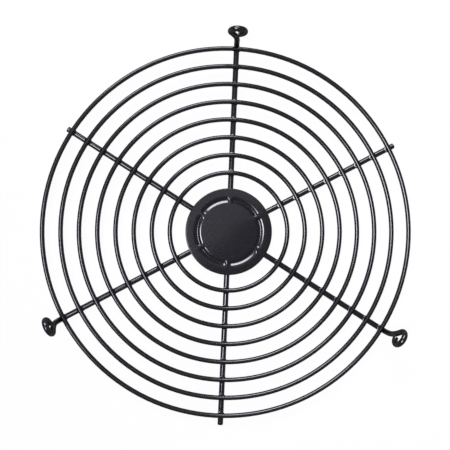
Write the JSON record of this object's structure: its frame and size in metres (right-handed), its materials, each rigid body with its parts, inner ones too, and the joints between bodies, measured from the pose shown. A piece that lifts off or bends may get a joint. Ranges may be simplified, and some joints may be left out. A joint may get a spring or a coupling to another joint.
{
  "type": "wire fan guard",
  "caption": "Round wire fan guard: concentric rings welded on radial spokes, a pressed hub disc, and legs that end in screw eyes.",
  "frame": {"origin": "centre of the hub disc's front face, on the guard's axis", "axes": "+Z along the guard's axis, towards the side that the legs stand on; +Y along the top eye spoke; the guard lies flat on its spokes"},
  "size_m": [0.254, 0.2657, 0.0304],
  "materials": {
    "coated_wire": "semi-gloss black coating on steel wire",
    "coated_sheet": "semi-gloss black coating on steel sheet"
  },
  "bodies": {
    "root": {"ring_1": "coated_wire", "ring_2": "coated_wire", "ring_3": "coated_wire", "ring_4": "coated_wire", "ring_5": "coated_wire", "ring_6": "coated_wire", "ring_7": "coated_wire", "ring_8": "coated_wire", "eye_spoke_top": "coated_wire", "eye_spoke_left": "coated_wire", "eye_spoke_right": "coated_wire", "plain_spoke_right": "coated_wire", "plain_spoke_left": "coated_wire", "plain_spoke_bottom": "coated_wire", "hub_disc": "coated_sheet"}
  },
  "joints": []
}
